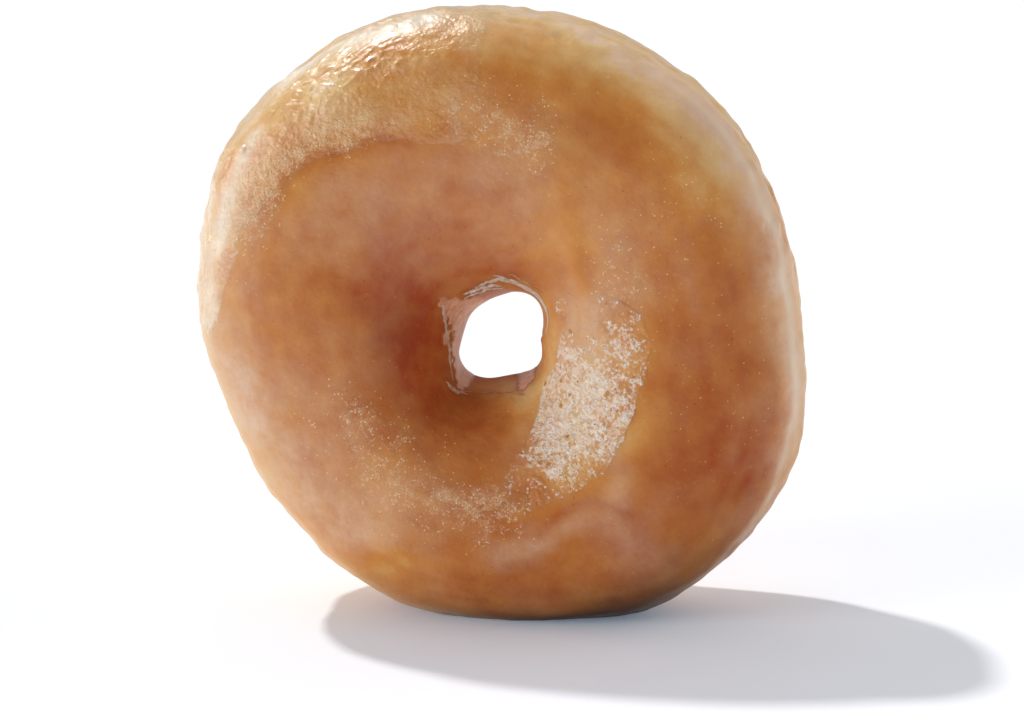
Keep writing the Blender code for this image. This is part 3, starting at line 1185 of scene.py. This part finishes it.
def strings(at, seed):
    """Noise that is long round the hole and narrow across it."""
    across = at.section * CUT_RADIUS / MM / STRING_WIDTH
    ring = [HOLE_RADIUS / MM * turned(at.clock) / STRING_LENGTH for turned in (np.cos, np.sin)]
    return noise(np.stack([ring[0], across, ring[1]], axis=-1), 1.0, seed)


def torn_thickness(at):
    """Thick where the torn band is strong, thicker inwards and a little from string to string."""
    there = smooth_step(torn_band(at), 0.15, 0.6)
    inwards = smooth_step(math.pi - np.abs(angle_from(at.section, math.pi)), 150 * DEGREE, 166 * DEGREE)
    uneven = 0.50 + 0.5 * inwards + 0.15 * strings(at, 111)
    return there * TORN_HEIGHT * uneven - TORN_SUNK * (1 - there)


# %% Torn dough
def crumb_material(name, full, pale):
    """Soft dough from brown to pale, palest where its layer of thickness reaches the full value."""
    made, graph, shader = new_material(name)
    place = graph.node("TexCoord", {})["Object"]
    uneven = graph.stretch(graph.cloud(place, 0.8, 6.0, 0.7), 0.3, 0.7, -0.3, 0.3)
    share = graph.plus(graph.stretch(graph.layer("thick"), 0.05, full), uneven, clamp=True)
    graph.fill(shader, {
        "Base Color": graph.blend(share, DARK_CRUMB, pale),
        "Normal": graph.bump(graph.cloud(place, 0.5, 6.0, 0.7), 0.12),
        "Roughness": 0.42,
        "Specular IOR Level": 0.3,
        "Subsurface Weight": 0.5,
        "Subsurface Radius": (1.0, 0.5, 0.3),
        "Subsurface Scale": 1.5 * MM,
    })
    return made


TORN = crumb_material("torn_dough", 0.32, PALE_CRUMB)
layer_piece("torn_dough", (0, 360, 134, 226), 0.16, torn_thickness, TORN)

# %% [markdown]
# ## Strands across the hole's wall
#
# A few thin wisps were drawn out when the dough tore. Each is a flat tube along a path on the skin: at every
# step of the path a small oval stands square to the way ahead, and it shrinks to a point at both ends. A
# bevelled curve would be quicker, but it would not lie flat on the skin.

# %% Paths of the strands
# Each strand is a half width in mm, how pale it is, and the places that it goes through
STRANDS = (
    (0.42, 0.5, ((94, 138), (88, 140), (82, 142), (75, 145), (66, 147), (54, 148),
        (44, 148), (36, 150), (28, 153))),
    (0.26, 1, ((88, 142), (78, 145), (66, 149), (54, 150), (44, 150), (36, 151), (26, 154), (16, 157))),
    (0.22, 0, ((84, 138), (78, 138), (70, 141), (60, 142), (50, 142))),
    (0.36, 0.5, ((112, 146), (104, 145), (98, 143), (90, 142), (82, 144), (74, 146))),
    (0.44, 0.7, ((123, 148), (115, 147), (108, 147), (101, 148), (94, 147), (86, 148))),
    (0.24, 0.9, ((126, 151), (116, 150), (106, 151), (96, 151), (84, 151))),
    (0.34, 0.4, ((138, 141), (145, 147), (156, 152), (172, 156), (190, 160), (206, 163), (220, 160))),
    (0.22, 0.2, ((142, 150), (152, 156), (166, 160), (184, 165), (206, 170), (226, 172))),
    (0.34, 0.4, ((212, 153), (220, 154), (228, 157), (238, 160))),
    (0.2, 0.2, ((226, 158), (240, 163), (256, 164), (270, 162), (284, 162), (294, 165))),
)
STRAND_SIDES = 10
STRAND_STEPS = 80
STRAND_BLUR = 13


# %% Strands
def strand(path, half_width, seed):
    """Points of a flat tube: ovals round the path, whose size is a sine, with noise added along it."""
    corners = np.radians(np.array(path, float))
    share = np.linspace(0, 1, STRAND_STEPS)
    line = [np.interp(share, np.linspace(0, 1, len(corners)), corners[:, axis]) for axis in range(2)]
    padded = [np.pad(values, STRAND_BLUR // 2, mode="edge") for values in line]
    even = np.full(STRAND_BLUR, 1 / STRAND_BLUR)
    clock, section = (np.convolve(values, even, "valid") for values in padded)
    along = np.stack([share * 9, share * 0, share * 0], axis=-1)
    section = section + 1.2 * DEGREE * noise(along, 1.0, seed)
    points, outward = skin(clock, section)
    ahead = np.gradient(points, axis=0)
    ahead /= np.linalg.norm(ahead, axis=1, keepdims=True)
    side = np.cross(ahead, outward)
    size = half_width * MM * np.sin(math.pi * share) ** 0.7 * (1 + 0.5 * noise(along * 3, 1.0, seed + 40))
    turn = np.linspace(0, TURN, STRAND_SIDES, endpoint=False)[:, None]
    circle = np.cos(turn) * side[:, None] + 0.22 * np.sin(turn) * outward[:, None]
    middle = points + outward * 0.03 * MM
    return stand(middle[:, None] + circle * size[:, None, None])


def strands():
    """All the strands as one mesh."""
    tubes = np.stack([strand(path, width, 120 + index) for index, (width, _, path) in enumerate(STRANDS)])
    pale = np.array([row[1] for row in STRANDS])[:, None, None]
    one = grid_faces(STRAND_STEPS, STRAND_SIDES, False, True)
    faces = np.concatenate([one + index * STRAND_STEPS * STRAND_SIDES for index in range(len(STRANDS))])
    made = piece("crumb_strands", tubes, faces, crumb_material("crumb_strands", 0.5, WISP))
    paint(made, {"thick": 0.5 * pale * (1 + 0.5 * noise(tubes, 0.8 * MM, 130))})
    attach(made, "root")
    print("the strands have", len(faces), "faces")


strands()

# %% [markdown]
# ## Floor
#
# A wide pale floor takes the shadow. It glows a little, as a sheet of lit opal plastic does, so the shadow
# stays light and slightly blue.

# %% Floor
FLOOR_HALF = 6.0
FLOOR_COLOUR = (0.90, 0.90, 0.91, 1)
FLOOR_GLOW = (0.57, 0.77, 1.0, 1)
FLOOR_GLOW_POWER = 0.16


def floor_piece():
    """A wide square just under the doughnut."""
    corners = np.array([(-1, -1, 0), (1, -1, 0), (1, 1, 0), (-1, 1, 0)], float) * FLOOR_HALF
    material, graph, shader = new_material("pale_floor")
    graph.fill(shader, {
        "Base Color": FLOOR_COLOUR,
        "Roughness": 1.0,
        "Specular IOR Level": 0.0,
        "Emission Color": FLOOR_GLOW,
        "Emission Strength": FLOOR_GLOW_POWER,
    })
    return piece("floor", corners, np.array([[0, 1, 2, 3]]), material)


floor_piece()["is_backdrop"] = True
print("the floor is", 2 * FLOOR_HALF, "m wide")

# %% [markdown]
# ## Light
#
# Four sun lamps light the ring, because a sun's light is the same all over and its spread sets how soft the
# shadow is. The key is small and high, behind on the left: it makes the shadow and the highlights along the
# upper rim. The broad side lamp comes from the front left and grazes the slopes of the hole, the low window
# brightens the left rim, and the very broad warm rim lamp fills the right. A white world fills the rest.


# %% Lamps
def direction(around, above):
    """A unit vector this many degrees round to the right from the front, and this many above the floor."""
    flat = math.cos(above * DEGREE)
    across = math.sin(around * DEGREE) * flat
    return Vector((across, -math.cos(around * DEGREE) * flat, math.sin(above * DEGREE)))


# Name, direction towards the lamp, power, spread in degrees and colour
LAMPS = (
    ("key", direction(-125.5, 57.7), 1.7, 3.5, (1, 1, 1)),
    ("side", Vector((-0.85, -0.46, 0.25)), 1.2, 24, (1, 1, 1)),
    ("window", Vector((-0.97, 0.12, 0.16)), 0.30, 15, (1, 1, 1)),
    ("rim", Vector((0.88, 0.10, 0.40)), 0.70, 60, (1.12, 1.0, 0.94)),
)
for lamp_name, towards_lamp, power, spread, lamp_colour in LAMPS:
    lamp = bpy.data.lights.new(lamp_name, "SUN")
    lamp.energy = power
    lamp.angle = spread * DEGREE
    lamp.color = lamp_colour
    hung = bpy.data.objects.new(lamp_name, lamp)
    hung.rotation_euler = towards_lamp.to_track_quat("Z", "Y").to_euler()
    bpy.context.scene.collection.objects.link(hung)
print("lamps", {name: power for name, _, power, _, _ in LAMPS})

# %% [markdown]
# The world stands for a white room. It is dim in front and bright behind, so that the gloss of the glaze has
# something to mirror without washing out the front.

# %% Studio
WORLD_FRONT = 0.25
WORLD_BACK = 0.48
WORLD_COLOUR = (0.97, 0.99, 1.04, 1)
WORLD_BRIGHT_SIDE = Vector((0.1, 0.95, 0.30))


def studio():
    """A world whose power changes smoothly along one direction."""
    world = bpy.data.worlds.new("studio")
    world.use_nodes = True
    graph = Graph(world.node_tree)
    towards = {0: graph.node("TexCoord", {})["Generated"], 1: WORLD_BRIGHT_SIDE.normalized()}
    facing = graph.node("VectorMath", towards, operation="DOT_PRODUCT")["Value"]
    power = graph.stretch(facing, -0.3, 0.6, WORLD_FRONT, WORLD_BACK)
    graph.fill(world.node_tree.nodes["Background"], {"Strength": power, "Color": WORLD_COLOUR})
    return world


bpy.context.scene.world = studio()
bpy.context.scene.view_settings.view_transform = "Standard"
print("the world's power runs from", WORLD_FRONT, "to", WORLD_BACK)

# %% [markdown]
# ## Camera
#
# The camera looks with a long lens from a little to the right and a little above, as the photo's did. Its
# distance comes from how many pixels a metre takes up at the doughnut.

# %% Camera
PHOTO_WIDTH = 1024
PHOTO_HEIGHT = 718
SENSOR = 36.0
LENS = 110.0
CAMERA_AROUND = 5
CAMERA_ABOVE = 13
PIXELS_PER_METRE = 6870.0
# The pixel of the photo where the middle of the doughnut's box is
MIDDLE_PIXEL = (502.5, 311.0)


def camera():
    """Looks along the photo's direction, moved sideways until the doughnut's middle is at its pixel."""
    back = direction(CAMERA_AROUND, CAMERA_ABOVE)
    right = Vector((math.cos(CAMERA_AROUND * DEGREE), math.sin(CAMERA_AROUND * DEGREE), 0))
    up = back.cross(right)
    distance = LENS / SENSOR * PHOTO_WIDTH / PIXELS_PER_METRE
    aside = (PHOTO_WIDTH / 2 - MIDDLE_PIXEL[0]) / PIXELS_PER_METRE
    below = (PHOTO_HEIGHT / 2 - MIDDLE_PIXEL[1]) / PIXELS_PER_METRE
    data = bpy.data.cameras.new("camera")
    data.lens = LENS
    data.sensor_width = SENSOR
    made = bpy.data.objects.new("camera", data)
    made.location = (low + high) / 2 + back * distance + right * aside - up * below
    made.rotation_euler = back.to_track_quat("Z", "Y").to_euler()
    bpy.context.scene.collection.objects.link(made)
    bpy.context.scene.camera = made
    return distance


print("the camera is", round(camera(), 3), "m away")

# %% [markdown]
# ## Sizes of the solid and the dressed doughnut
#
# The corners of both boxes are printed. The dressed doughnut should stay inside the solid's box, give or
# take the glaze's own thickness.

# %% Sizes
visual_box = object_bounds()
for name, box in (("solid", cad_box), ("dressed", visual_box)):
    print(name, "corners in mm", [[round(1000 * side, 1) for side in corner] for corner in box])
